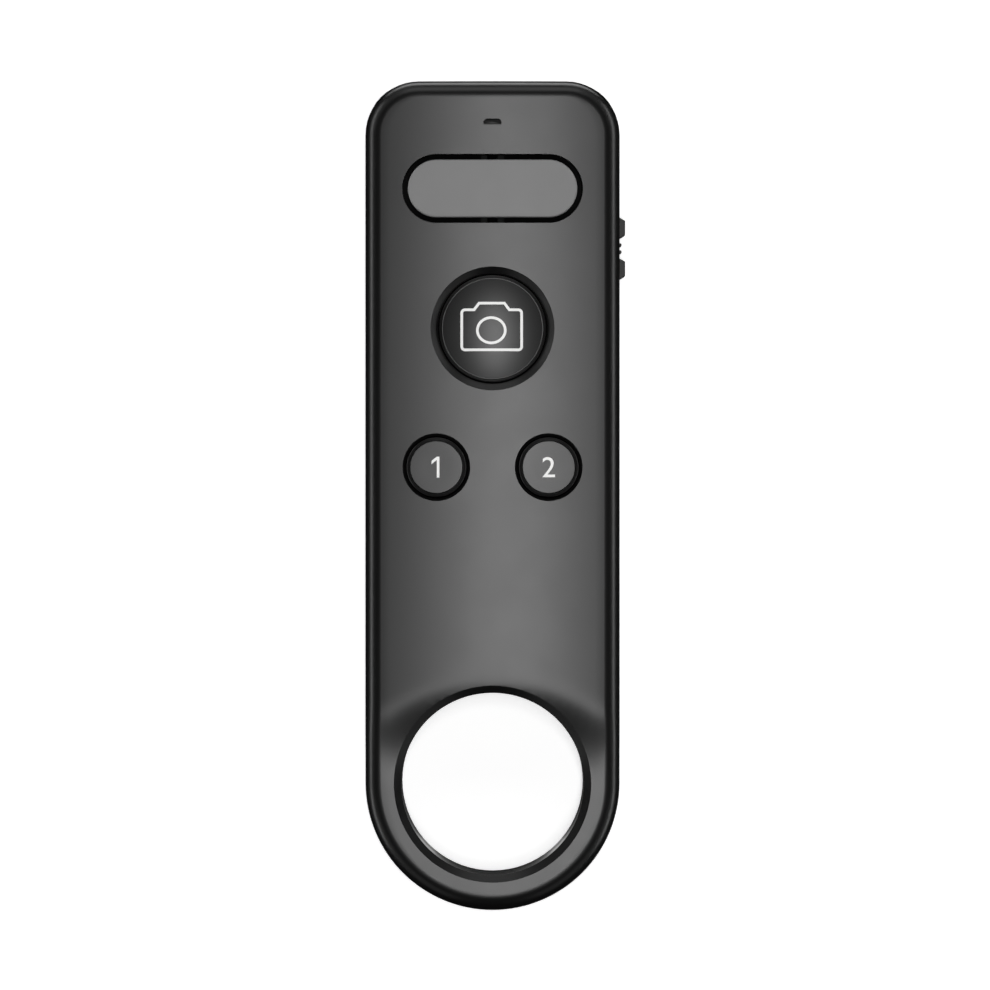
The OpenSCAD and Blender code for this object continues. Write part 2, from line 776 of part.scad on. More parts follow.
// Slider: knob with two grips and two fine ribs, plate behind the wall and fork
module power_slider() color("#68686b") {
    base_x = slide_x + slide_plate_t;
    foot = half_w - rib_proud / 2;
    translate([0, slider_y, split_z]) {
        translate([slide_x, -slider_l / 2 - slide_plate_reach, -slider_h / 2 - slide_plate_reach])
            cube([slide_plate_t, slider_l + 2 * slide_plate_reach,
                slider_h + 2 * slide_plate_reach]);
        translate([base_x - over, -slider_l / 2, -slider_h / 2])
            cube([foot - base_x + over, slider_l, slider_h]);
        translate([0, 0, -slider_h / 2]) linear_extrude(slider_h) {
            for (side = [-1, 1])
                polygon([
                    [foot - over, side * slider_l / 2],
                    [foot, side * slider_l / 2],
                    [half_w + slider_proud, side * (slider_l / 2 - grip_slope)],
                    [half_w + slider_proud, side * (slider_l / 2 - grip_l + grip_slope)],
                    [foot, side * (slider_l / 2 - grip_l)],
                    [foot - over, side * (slider_l / 2 - grip_l)]]);
            for (side = [-1, 1])
                translate([foot - over, side * rib_pitch / 2 - rib_l / 2])
                    square([half_w + rib_proud - foot + over, rib_l]);
        }
        for (side = [-1, 1])
            translate([slide_x - fork_l, side * (lever_w / 2 + fork_gap + fork_l / 2) - fork_l / 2,
                -fork_h / 2])
                cube([fork_l + over, fork_l, fork_h]);
    }
}

// Coin cell: wide can below, narrower cap above, with a rounded lower edge
module coin_cell() color("#c4c7cb") {
    translate([0, cell_y, cell_z]) rotate_extrude() {
        translate([0, cell_edge]) square([cell_r, cell_h - cell_step - cell_edge]);
        square([cell_r - cell_edge, cell_h - cell_step]);
        translate([cell_r - cell_edge, cell_edge]) circle(r = cell_edge);
        square([cell_cap_r, cell_h]);
    }
}

// Curved strip that touches the side of the cell, with a foot under the board
module positive_contact() color("#d6c27a") {
    inner_r = cell_r + contact_gap;
    start = 90 - clip_arc / 2;
    translate([0, cell_y, clip_z]) rotate_extrude(angle = clip_arc, start = start)
        translate([inner_r, 0]) square([leaf_t, board_z - clip_z]);
    translate([0, cell_y, board_z - leaf_t]) rotate_extrude(angle = clip_arc, start = start)
        translate([inner_r, 0]) square([cell_gap + cage_t, leaf_t]);
}

// Two-legged leaf spring between the board and the cell's cap
module negative_contact() color("#d6c27a") {
    drop = board_z - leaf_t - (cell_z + cell_h) - contact_gap;
    foot_l = spring_foot_share * spring_l;
    run = spring_run_share * drop;
    translate([-spring_w, cell_y - foot_l / 2, board_z - leaf_t])
        cube([2 * spring_w, foot_l, leaf_t]);
    for (side = [-1, 1])
        translate([0, cell_y, board_z - leaf_t]) rotate([90, 0, 90])
            linear_extrude(spring_w, center = true) polygon([
                [side * (foot_l / 2 - leaf_t), 0], [side * (foot_l / 2 - leaf_t), leaf_t],
                [side * foot_l / 2, leaf_t],
                [side * (foot_l / 2 + run), leaf_t - drop],
                [side * (spring_l / 2 + leaf_t), leaf_t - drop],
                [side * (spring_l / 2 + leaf_t), -drop],
                [side * (foot_l / 2 + run - leaf_t), -drop],
                [side * (foot_l / 2 - leaf_t / 2), 0]]);
}

// Door that turns into the rear shell, with a coin slot across its outer face
module battery_door() color("#252527") {
    difference() {
        union() {
            translate([0, cell_y, door_sunk]) cylinder(r = door_r, h = door_t);
            for (i = [0:lug_count - 1])
                translate([0, cell_y, lug_z])
                    rotate_extrude(angle = lug_arc, start = 360 / lug_count * i)
                        square([door_r + lug_reach, lug_t]);
        }
        translate([0, cell_y, door_sunk - over]) linear_extrude(coin_slot_deep + over)
            pill(coin_slot_l, coin_slot_w);
    }
}

// Four self-cutting screws driven from the rear
module case_screws() color("#8a8c90") {
    tip_z = ceiling_z - 2 * screw_tip;
    for (p = screw_places)
        translate([p[0], p[1], head_sunk]) difference() {
            union() {
                cylinder(r = head_r, h = head_h);
                cylinder(r = shank_r, h = tip_z - head_sunk);
            }
            for (turn = [0, 90])
                rotate([0, 0, turn]) translate([0, 0, -over])
                    linear_extrude(cross_deep + over)
                        square([2 * cross_share * head_r, cross_w], center = true);
        }
}

front_shell();
rear_shell();
shutter_cap();
left_cap();
right_cap();
zoom_bar();
key_mat();
shutter_dome();
left_dome();
right_dome();
zoom_out_dome();
zoom_in_dome();
light_pipe();
indicator_led();
circuit_board();
radio_chip();
crystal();
chip_antenna();
chip_parts();
switch_housing();
switch_lever();
power_slider();
coin_cell();
positive_contact();
negative_contact();
battery_door();
case_screws();
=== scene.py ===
# %% [markdown]
# A handheld wireless camera remote with a finger ring, dressed for a product picture.
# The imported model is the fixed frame: it holds every piece at its real place and size.
# This lesson gives the pieces their finish, and remodels those whose soft edges, crowned
# face and printed marks need a finer mesh than a construction model has.

# %% Load the frame
import json
import math

import bmesh
import bpy
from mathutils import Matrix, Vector


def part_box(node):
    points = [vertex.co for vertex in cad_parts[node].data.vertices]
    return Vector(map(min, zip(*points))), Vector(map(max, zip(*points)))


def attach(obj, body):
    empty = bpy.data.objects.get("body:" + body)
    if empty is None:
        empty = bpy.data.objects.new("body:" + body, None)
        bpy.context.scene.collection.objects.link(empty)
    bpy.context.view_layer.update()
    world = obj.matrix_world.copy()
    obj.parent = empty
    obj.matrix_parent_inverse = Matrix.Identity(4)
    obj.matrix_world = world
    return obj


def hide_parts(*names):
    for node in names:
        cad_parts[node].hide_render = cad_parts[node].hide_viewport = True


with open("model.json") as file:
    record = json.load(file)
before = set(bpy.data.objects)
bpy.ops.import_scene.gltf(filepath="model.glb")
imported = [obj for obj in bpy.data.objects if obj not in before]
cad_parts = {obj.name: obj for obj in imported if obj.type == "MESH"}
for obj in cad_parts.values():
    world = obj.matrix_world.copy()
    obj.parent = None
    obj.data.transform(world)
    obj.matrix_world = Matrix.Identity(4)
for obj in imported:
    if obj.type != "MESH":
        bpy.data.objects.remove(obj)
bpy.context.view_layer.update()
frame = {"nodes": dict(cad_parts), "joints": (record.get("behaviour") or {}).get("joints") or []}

mm = 0.001


# %% [markdown]
# Places come from the frame, so that a piece modelled here sits where its node sits.
# Each snap dome lies right under the middle of its key, the ring is round, so its centre
# lies half a width above the lower end, and the zoom key turns about its joint.

# %% Places taken from the frame
shell_low, shell_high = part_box("front_shell")
half_w = shell_high.x
top_y = shell_high.y
split_z = shell_low.z
face_z = shell_high.z
cap_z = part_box("shutter_cap")[1].z
pad_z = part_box("shutter_cap")[0].z


def middle(node):
    low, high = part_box(node)
    return (low + high) / 2


shutter = middle("shutter_dome")
left_key = middle("left_dome")
right_key = middle("right_dome")
zoom_key = (middle("zoom_out_dome") + middle("zoom_in_dome")) / 2
lamp = middle("light_pipe")
slider_y = middle("power_slider").y
ring_centre = Vector((0, half_w - top_y, 0))
trunnion_z = next(j["pos_m"][2] for j in frame["joints"] if j["name"] == "zoom_rock")
print("keys at y in mm:", [round(p.y / mm, 2) for p in (shutter, left_key, zoom_key, lamp)])

# %% Sizes of the front shell that the frame's boxes don't give
corner_r = 6.3 * mm
wall = 1.4 * mm
edge_r = 1.9 * mm
hole_r = 10.75 * mm
ring_z = 8.2 * mm
ramp_y = ring_centre.y - 12.2 * mm
ramp_foot_r = 17.5 * mm
ramp_head_r = 25 * mm
crown_drop = 0.6 * mm
over = 0.5 * mm

# %% [markdown]
# Every operator works on what is selected, so each step starts with nothing selected.
# A few short helpers carry that: one deselects, one enters edit mode, and one selects
# points or edges by their place. Two places that lie nearer than a hundredth of a
# millimetre count as one.

# %% Helpers that select and edit
near = 0.01 * mm


def deselect():
    if bpy.context.object and bpy.context.object.mode != "OBJECT":
        bpy.ops.object.mode_set(mode="OBJECT")
    bpy.ops.object.select_all(action="DESELECT")


def pick(piece):
    deselect()
    piece.select_set(True)
    bpy.context.view_layer.objects.active = piece


def edit(piece, kind="VERT"):
    pick(piece)
    bpy.ops.object.mode_set(mode="EDIT")
    bpy.ops.mesh.select_mode(type=kind)
    bpy.ops.mesh.select_all(action="DESELECT")


def select(piece, kind, test):
    """Selects the points, edges or faces of the mesh in edit mode that pass the test."""
    bm = bmesh.from_edit_mesh(piece.data)
    bpy.ops.mesh.select_mode(type=kind)
    bpy.ops.mesh.select_all(action="DESELECT")
    for part in {"VERT": bm.verts, "EDGE": bm.edges, "FACE": bm.faces}[kind]:
        part.select_set(bool(test(part)))
    bm.select_flush_mode()
    bmesh.update_edit_mesh(piece.data)


def settle(piece, name):
    """Names a piece and puts its place into its mesh."""
    pick(piece)
    bpy.ops.object.transform_apply(location=True, rotation=True, scale=True)
    piece.name = name
    piece.data.name = name
    return piece


def tidy(piece, gap=near / 5):
    """Merges doubles and turns every face outwards."""
    edit(piece)
    bpy.ops.mesh.select_all(action="SELECT")
    bpy.ops.mesh.remove_doubles(threshold=gap)
    bpy.ops.mesh.normals_make_consistent(inside=False)
    bpy.ops.object.mode_set(mode="OBJECT")


# %% [markdown]
# Boolean cuts leave many-sided faces beside soft rims, and plain smooth shading would
# bend their light. Weighted normals let the large faces decide how the light runs, which
# keeps a flat face flat right up to its rim.

# %% Helpers that finish a mesh
large_face_weight = 80


def apply_all(piece):
    pick(piece)
    for modifier in list(piece.modifiers):
        bpy.ops.object.modifier_apply(modifier=modifier.name)


def smooth(piece, degrees=27):
    pick(piece)
    bpy.ops.object.shade_smooth_by_angle(angle=math.radians(degrees))
    even = piece.modifiers.new("even", "WEIGHTED_NORMAL")
    even.mode = "FACE_AREA"
    even.weight = large_face_weight
    even.keep_sharp = True
    apply_all(piece)


def cut(piece, cutter, operation="DIFFERENCE"):
    """Cuts, joins or intersects two closed solids and removes the second."""
    modifier = piece.modifiers.new("cut", "BOOLEAN")
    modifier.operation = operation
    modifier.solver = "EXACT"
    modifier.object = cutter
    apply_all(piece)
    bpy.data.objects.remove(cutter)


def open_edges(piece):
    """Counts the edges that don't have a face on both sides, which a closed piece lacks."""
    bm = bmesh.new()
    bm.from_mesh(piece.data)
    count = sum(1 for e in bm.edges if len(e.link_faces) != 2)
    bm.free()
    return count


# %% Round solids, boxes and arcs
def arc(radius, start, end, steps):
    """Points of an arc as (across, up) pairs from its centre, angles in degrees."""
    turns = [math.radians(start + (end - start) * i / steps) for i in range(steps + 1)]
    return [(radius * math.cos(a), radius * math.sin(a)) for a in turns]


def turned(name, centre, rings, segments=128):
    """A round solid grown from a disc, one extruded ring for each (radius, height)."""
    deselect()
    r, z = rings[0]
    bpy.ops.mesh.primitive_circle_add(
        vertices=segments, radius=r, fill_type="NGON", location=(centre.x, centre.y, z),
        rotation=(0, 0, math.pi / segments))
    piece = settle(bpy.context.object, name)
    edit(piece, "FACE")
    bpy.ops.mesh.select_all(action="SELECT")
    for new_r, new_z in rings[1:]:
        bpy.ops.mesh.extrude_region_move(TRANSFORM_OT_translate={"value": (0, 0, new_z - z)})
        bpy.ops.transform.resize(value=(new_r / r, new_r / r, 1),
                                 center_override=(centre.x, centre.y, new_z))
        r, z = new_r, new_z
    tidy(piece)
    return piece


def block(name, low, high):
    """A box between two corners, for straight slots and tabs."""
    deselect()
    bpy.ops.mesh.primitive_cube_add(size=1, location=[(a + b) / 2 for a, b in zip(low, high)])
    piece = bpy.context.object
    piece.scale = [b - a for a, b in zip(low, high)]
    return settle(piece, name)


# %% [markdown]
# The shell's plan is a rectangle with two soft corners at the top and a half circle at
# the ring end. It could be drawn as a curve, but a sheet with bevelled corners gives it
# in two strokes: a corner bevel as long as half the width turns the two lower corners
# into one half circle. Fine cuts along the sides give the upper face an even grid.

# %% Plan of the body as a closed loop of edges
corner_steps = 12
ring_steps = 32
side_cuts = 96
end_cuts = 23


def plan_loop(name, inset, z):
    deselect()
    bpy.ops.mesh.primitive_plane_add(size=1, location=(0, 0, z))
    piece = bpy.context.object
    piece.scale = (2 * (half_w - inset), 2 * (top_y - inset), 1)
    settle(piece, name)
    edit(piece)
    for side, radius, steps in ((1, corner_r, corner_steps), (-1, half_w, ring_steps)):
        select(piece, "VERT", lambda v: v.co.y * side > 0)
        bpy.ops.mesh.bevel(offset_type="OFFSET", offset=radius - inset, segments=steps,
                           profile=0.5, affect="VERTICES", clamp_overlap=False)
    bpy.ops.mesh.select_all(action="SELECT")
    bpy.ops.mesh.remove_doubles(threshold=near)
    bpy.ops.mesh.delete(type="ONLY_FACE")
    long = 10 * mm
    select(piece, "EDGE", lambda e: e.calc_length() > long
           and abs(e.verts[0].co.x) > half_w / 2
           and abs(e.verts[0].co.x - e.verts[1].co.x) < inset + mm)
    bpy.ops.mesh.subdivide(number_cuts=side_cuts)
    select(piece, "EDGE", lambda e: e.calc_length() > long)
    bpy.ops.mesh.subdivide(number_cuts=end_cuts)
    return piece


# %% Solid on the plan with a filleted upper edge and a fine grid as its upper face
def plan_block(name, inset, low_z, high_z, fillet, steps):
    piece = plan_loop(name, inset, low_z)
    bpy.ops.mesh.select_all(action="SELECT")
    bpy.ops.mesh.extrude_edges_move(
        TRANSFORM_OT_translate={"value": (0, 0, high_z - fillet - low_z)})
    bpy.ops.mesh.edge_face_add()
    bpy.ops.mesh.select_all(action="SELECT")
    bpy.ops.mesh.normals_make_consistent(inside=False)
    select(piece, "FACE", lambda f: len(f.verts) > 4)
    profile = arc(fillet, 0, 90, steps)
    for (x0, z0), (x1, z1) in zip(profile, profile[1:]):
        bpy.ops.mesh.inset(thickness=x0 - x1, depth=z1 - z0, use_even_offset=True)
    bpy.ops.mesh.delete(type="ONLY_FACE")
    select(piece, "EDGE", lambda e: e.is_boundary and e.verts[0].co.z > high_z - near)
    bm = bmesh.from_edit_mesh(piece.data)
    tops = [v for v in bm.verts if v.select]
    first = min(tops, key=lambda v: (round(-v.co.y / near), v.co.x))
    bm.select_history.clear()
    bm.select_history.add(first)
    bmesh.update_edit_mesh(piece.data)
    bpy.ops.mesh.fill_grid(span=end_cuts + 1)
    select(piece, "EDGE", lambda e: e.is_boundary)
    bpy.ops.mesh.edge_face_add()
    tidy(piece)
    return piece


# %% [markdown]
# The face isn't flat: it is crowned across its width, and falls in a soft bowed ramp to
# the lower ring end. A formula lowers it in one pass after all the holes are cut, so that
# rims, wells and the rounded edge follow the face in one piece. The ceiling inside and the
# walls beside the slider keep their place.

# %% How far the front face lies below its highest level
def share_up_ramp(x, y):
    s = (math.hypot(x, y - ramp_y) - ramp_foot_r) / (ramp_head_r - ramp_foot_r)
    s = min(1, max(0, s))
    return s * s * (3 - 2 * s)


ceiling_z = face_z - wall
edge_z = face_z - edge_r
slot_top = split_z + 1.55 * mm
wall_reach = wall - 0.1 * mm


def crown_weight(x, y, z):
    """How much a point takes part in the crown: fully above the ceiling, less on a wall."""
    if z > ceiling_z + near:
        return 1
    on_wall = max(abs(x) - half_w, y - top_y) > -wall_reach
    return on_wall * min(1, max(0, (z - slot_top) / (edge_z - slot_top)))


def lower_face(piece):
    edit(piece)
    bm = bmesh.from_edit_mesh(piece.data)
    for v in bm.verts:
        x, y, z = v.co
        share = share_up_ramp(x, y)
        ramp_weight = min(1, max(0, (z - split_z) / (edge_z - split_z)))
        crown_share = share * (2 - share)
        v.co.z -= ramp_weight * (1 - share) * (face_z - ring_z)
        v.co.z -= crown_weight(x, y, z) * crown_share * crown_drop * (x / half_w) ** 2
    bmesh.update_edit_mesh(piece.data)
    bpy.ops.object.mode_set(mode="OBJECT")


def keep_rims_crisp(piece):
    """Marks the rims in the flat face as sharp, before a slope makes them too shallow."""
    edit(piece)
    select(piece, "EDGE", lambda e: min(v.co.z for v in e.verts) > face_z - near / 2
           and e.calc_face_angle(0) > math.radians(8))
    bpy.ops.mesh.mark_sharp()
    bpy.ops.object.mode_set(mode="OBJECT")


# %% Outer block with a small bevel at the parting line
front = plan_block("front_shell_moulded", 0, split_z, face_z, edge_r, 10)
parting_bevel = 0.12 * mm
edit(front)
select(front, "EDGE", lambda e: max(v.co.z for v in e.verts) < split_z + near)
bpy.ops.mesh.bevel(offset=parting_bevel, segments=2, affect="EDGES")
bpy.ops.object.mode_set(mode="OBJECT")
print("front block:", len(front.data.polygons), "faces")

# %% [markdown]
# Holes are cut with turned plugs, as a milling cutter would. A conical mouth leaves the
# bevelled well that a fingertip finds round each key, and the broad bevel round the
# finger hole. Every mouth runs on straight through the face: a cutter with points in the
# very plane that it cuts leaves cracks, and a rim that meets the face flat would blur.

# %% Finger hole and round wells
shutter_r = 6.28 * mm
small_r = 3.5 * mm
cap_gap = 0.17 * mm
hole_bevel_w = 0.87 * mm
hole_bevel_h = 0.46 * mm
shutter_mouth_r = 7.28 * mm
shutter_mouth_h = 0.6 * mm
small_mouth_r = 3.98 * mm
small_mouth_h = 0.3 * mm


def well(bore_r, mouth_r, depth):
    """Rings of a plug whose conical mouth runs on through the face."""
    run_on = over * (mouth_r - bore_r) / depth
    return [(bore_r, ceiling_z - over), (bore_r, face_z - depth),
            (mouth_r + run_on, face_z + over)]


hole_rings = [(hole_r, split_z - over)] + well(hole_r, hole_r + hole_bevel_w, hole_bevel_h)[1:]
cut(front, turned("hole_plug", ring_centre, hole_rings))
key_wells = [(shutter, well(shutter_r + cap_gap, shutter_mouth_r, shutter_mouth_h))]
key_wells += [(key, well(small_r + cap_gap, small_mouth_r, small_mouth_h))
              for key in (left_key, right_key)]
for centre, rings in key_wells:
    cut(front, turned("key_plug", centre, rings))
    print("after a key's well:", len(front.data.polygons), "faces,", open_edges(front), "open")

# %% [markdown]
# The zoom key and its well are pills. A sheet with fully rounded corners is grown step by
# step: each inset draws the face inwards and lifts it, which rounds an edge as it goes.

# %% Pill-shaped solids, grown from a sheet by insets
def pill_sheet(name, centre, length, width, z, steps=24):
    deselect()
    bpy.ops.mesh.primitive_plane_add(size=1, location=(centre.x, centre.y, z))
    piece = bpy.context.object
    piece.scale = (length, width, 1)
    settle(piece, name)
    edit(piece)
    bpy.ops.mesh.select_all(action="SELECT")
    bpy.ops.mesh.bevel(offset_type="OFFSET", offset=width / 2, segments=steps, profile=0.5,
                       affect="VERTICES", clamp_overlap=False)
    bpy.ops.mesh.select_all(action="SELECT")
    bpy.ops.mesh.remove_doubles(threshold=near / 2)
    return piece


def grow(piece, steps, down=False):
    """Moves the face inwards and on by each step, then closes the open end."""
    bpy.ops.mesh.select_all(action="SELECT")
    bpy.ops.mesh.normals_make_consistent(inside=False)
    bm = bmesh.from_edit_mesh(piece.data)
    bm.faces.ensure_lookup_table()
    if (bm.faces[0].normal.z < 0) != down:
        bpy.ops.mesh.flip_normals()
    way = -1 if down else 1
    for inwards, onwards in steps:
        if inwards:
            bpy.ops.mesh.inset(thickness=inwards, depth=onwards, use_even_offset=True)
        else:
            bpy.ops.mesh.extrude_region_move(
                TRANSFORM_OT_translate={"value": (0, 0, way * onwards)})
    select(piece, "EDGE", lambda e: e.is_boundary)
    bpy.ops.mesh.edge_face_add()
    tidy(piece)
    return piece


def rounding(radius, steps):
    """Steps of a quarter circle that starts steep and ends flat."""
    points = arc(radius, 0, 90, steps)
    return [(a - b, d - c) for (a, c), (b, d) in zip(points, points[1:])]


# %% Well of the zoom key
zoom_l = 19.9 * mm
zoom_w = 6.75 * mm
zoom_gap = 0.61 * mm
chamfer = 0.07 * mm
lip = near
mouth = zoom_gap + chamfer + lip
plug = pill_sheet("zoom_plug", zoom_key, zoom_l + 2 * mouth, zoom_w + 2 * mouth, face_z + over)
cut(front, grow(plug, [(0, over - lip), (chamfer + lip, chamfer + lip), (0, wall + over)],
                down=True))
print("after the zoom well:", len(front.data.polygons), "faces,", open_edges(front), "open")

# %% [markdown]
# Over the lamp lies a thumbnail-shaped notch. The wall is so thin there that the lamp
# shines through it. Its upper side drops in a short bank, and its hollow floor rises to
# the face at the lower side, as a scoop's cut would. Under it a pocket takes the light
# pipe.

# %% Thumbnail notch and the light pipe's pocket
notch_l = 2.2 * mm
notch_w = 0.92 * mm
notch_deep = 0.1 * mm
notch_bank = 0.1 * mm
notch_corner = 0.5 * mm
notch_strips = 7
# The power of the floor's curve. Above 1 the floor is hollow.
notch_hollow = 1.6
skin = 0.5 * mm
deselect()
bpy.ops.mesh.primitive_plane_add(size=1, location=(0, lamp.y, face_z + over))
notch = bpy.context.object
notch.scale = (notch_l, notch_w, 1)
settle(notch, "notch_plug")
edit(notch)
select(notch, "VERT", lambda v: v.co.y > lamp.y)
bpy.ops.mesh.bevel(offset_type="OFFSET", offset=notch_corner, segments=8, profile=0.5,
                   affect="VERTICES", clamp_overlap=False)
grow(notch, [(0, over - lip), (notch_bank, notch_deep + lip)], down=True)
floor_low = lamp.y - notch_w / 2 + notch_bank
floor_w = notch_w - 2 * notch_bank
edit(notch)
for i in range(1, notch_strips):
    select(notch, "FACE", lambda f: max(v.co.z for v in f.verts) < face_z - notch_deep / 2)
    bpy.ops.mesh.bisect(plane_co=(0, floor_low + floor_w * i / notch_strips, face_z),
                        plane_no=(0, 1, 0))
for v in bmesh.from_edit_mesh(notch.data).verts:
    if v.co.z < face_z - notch_deep / 2:
        share = min(1, max(0, (v.co.y - floor_low) / floor_w))
        v.co.z = face_z - notch_deep * share ** notch_hollow + lip * (1 - share)
bpy.ops.object.mode_set(mode="OBJECT")
cut(front, notch)
pocket = pill_sheet("pocket_plug", lamp, notch_l, notch_w, face_z - skin, 8)
cut(front, grow(pocket, [(0, wall)], down=True))
print("after the notch:", len(front.data.polygons), "faces,", open_edges(front), "open")

# %% Room inside, rebate for the rear shell's tongue and slot for the slider
tongue_root = 0.7 * mm
tongue_h = 0.78 * mm
room_fillet = 0.2 * mm
for name, inset, top_z in (("room", wall, ceiling_z),
                           ("rebate", tongue_root, split_z + tongue_h)):
    room = plan_block(name, inset, split_z - over, top_z, room_fillet, 2)
    cut(room, turned("ring_wall", ring_centre, [(hole_r + wall, split_z - 2 * over),
                                                (hole_r + wall, face_z + over)]))
    cut(front, room)
slider_l = 7.45 * mm
slider_travel = 2 * mm
slot_gap = 0.15 * mm
cut(front, block("slot", (half_w - wall - over,
                          slider_y - slider_travel - slider_l / 2 - slot_gap, split_z - over),
                 (half_w + over, slider_y + slider_l / 2 + slot_gap, slot_top)))
keep_rims_crisp(front)
lower_face(front)
tidy(front)
smooth(front)
print("front shell:", len(front.data.polygons), "faces,", open_edges(front), "open")

# %% [markdown]
# The round caps are turned from a disc, ring by ring: stem, flange, side, soft edge, rim,
# a hairline groove, and then the face. The large cap's face is a low dome, which gathers
# the light in its middle, and its rim slopes on outwards. The faces that carry print lie
# one ink film lower, so that the print ends at the cap's real height. All the keys follow
# the crown of the face round them, so that they stand out of it by the same height.

# %% Rings of a key cap
flange_t = 0.6 * mm
flange_gap = 0.05 * mm
flange_top = ceiling_z - flange_gap
flange_reach = 0.85 * mm
ink_t = 0.03 * mm
printed_z = cap_z - ink_t
groove = 0.1 * mm


def cap_sides(r, stem_r, edge, rim_z):
    rings = [(stem_r, pad_z), (stem_r, flange_top - flange_t),
             (r + flange_reach, flange_top - flange_t), (r + flange_reach, flange_top),
             (r, flange_top)]
    return rings + [(r - edge + across, rim_z - edge + up)
                    for across, up in arc(edge, 0, 90, 5)]


def crown(cap):
    """Lowers the part of a cap above the shell's ceiling like the face round it."""
    edit(cap)
    for v in bmesh.from_edit_mesh(cap.data).verts:
        v.co.z -= (v.co.z > ceiling_z) * crown_drop * (v.co.x / half_w) ** 2
    bpy.ops.object.mode_set(mode="OBJECT")
    smooth(cap)


def with_tab(cap, centre, r):
    """Joins the small tab that stops the cap turning."""
    tab_w = 1.2 * mm
    tab_l = 0.8 * mm
    reach = r + flange_reach
    cut(cap, block("tab", (centre.x - tab_w / 2, centre.y - reach - tab_l,
                           flange_top - flange_t),
                   (centre.x + tab_w / 2, centre.y - reach / 2, flange_top)), "UNION")


# %% Shutter cap
shutter_stem_r = 2.4 * mm
shutter_edge = 0.12 * mm
crown_h = 0.55 * mm
dome_r = 5.83 * mm
ball_r = (dome_r ** 2 + crown_h ** 2) / (2 * crown_h)
dome_steps = 18
shutter_rim_z = printed_z - crown_h
rim_fall = 0.06 * mm
shutter_rings = cap_sides(shutter_r, shutter_stem_r, shutter_edge, shutter_rim_z - rim_fall)
shutter_rings += [(dome_r + 1.6 * groove, shutter_rim_z),
                  (dome_r + groove, shutter_rim_z - groove),
                  (dome_r + 0.4 * groove, shutter_rim_z - groove)]
for i in range(dome_steps):
    r = dome_r * (1 - i / dome_steps)
    shutter_rings.append((r, printed_z - ball_r + math.sqrt(ball_r ** 2 - r ** 2)))
shutter_piece = turned("shutter_cap_moulded", shutter, shutter_rings)
with_tab(shutter_piece, shutter, shutter_r)
crown(shutter_piece)

# %% The two small caps
small_stem_r = 1.4 * mm
small_edge = 0.14 * mm
small_face_r = 3.12 * mm
small_pieces = []
for key, name in ((left_key, "left_cap_moulded"), (right_key, "right_cap_moulded")):
    rings = cap_sides(small_r, small_stem_r, small_edge, printed_z - rim_fall)
    rings += [(small_face_r + groove, printed_z),
              (small_face_r + groove / 2, printed_z - groove),
              (small_face_r - groove / 2, printed_z - groove / 2),
              (small_face_r - groove, printed_z), (small_face_r / 2, printed_z)]
    piece = turned(name, key, rings)
    with_tab(piece, key, small_r)
    crown(piece)
    small_pieces.append(piece)
print("caps:", [(len(p.data.polygons), open_edges(p)) for p in [shutter_piece] + small_pieces])

# %% [markdown]
# The zoom key is a pill with a soft edge. Its two plungers, and the hub with the
# trunnions that it rocks on, hang below and are joined to it. Cuts across its length give
# it the points that it needs to follow the crown.

# %% Zoom key
zoom_plate = 1.5 * mm
zoom_edge = 0.18 * mm
zoom_strips = 20
zoom_piece = pill_sheet("zoom_bar_moulded", zoom_key, zoom_l, zoom_w, cap_z - zoom_plate)
grow(zoom_piece, [(0, zoom_plate - zoom_edge)] + rounding(zoom_edge, 4))
plunger_r = 1.1 * mm
for dome in ("zoom_out_dome", "zoom_in_dome"):
    cut(zoom_piece, turned("plunger", middle(dome), [
        (plunger_r, pad_z), (plunger_r, cap_z - zoom_plate / 2)], 48), "UNION")
hub_w = 1.6 * mm
hub_gap = 0.02 * mm
hub_l = zoom_w - 2 * hub_gap
trunnion_r = 0.6 * mm
cut(zoom_piece, block("hub", (-hub_w / 2, zoom_key.y - hub_l / 2, trunnion_z),
                      (hub_w / 2, zoom_key.y + hub_l / 2, cap_z - zoom_plate / 2)), "UNION")
low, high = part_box("zoom_bar")
deselect()
bpy.ops.mesh.primitive_cylinder_add(vertices=32, radius=trunnion_r, depth=high.y - low.y,
                                    location=(0, zoom_key.y, trunnion_z),
                                    rotation=(math.pi / 2, 0, 0))
cut(zoom_piece, settle(bpy.context.object, "trunnion"), "UNION")
edit(zoom_piece)
for i in range(1, zoom_strips):
    bpy.ops.mesh.select_all(action="SELECT")
    bpy.ops.mesh.bisect(plane_co=(zoom_l * (i / zoom_strips - 0.5), zoom_key.y, cap_z),
                        plane_no=(1, 0, 0))
crown(zoom_piece)
print("zoom key:", len(zoom_piece.data.polygons), "faces,", open_edges(zoom_piece), "open")

# %% [markdown]
# Four more pieces keep the shape of their nodes. A merged copy of the node's mesh gets
# smooth round surfaces, and the slider's knob gets the small rounded edges of a moulded
# part by a bevel on its outer edges.

# %% Power slider, rear shell, battery door and screws
def copy_of(node, name):
    piece = bpy.data.objects.new(name, frame["nodes"][node].data.copy())
    bpy.context.scene.collection.objects.link(piece)
    piece.data.name = name
    edit(piece)
    bpy.ops.mesh.select_all(action="SELECT")
    bpy.ops.mesh.remove_doubles(threshold=near / 10)
    bpy.ops.mesh.dissolve_limited(angle_limit=math.radians(1))
    return piece


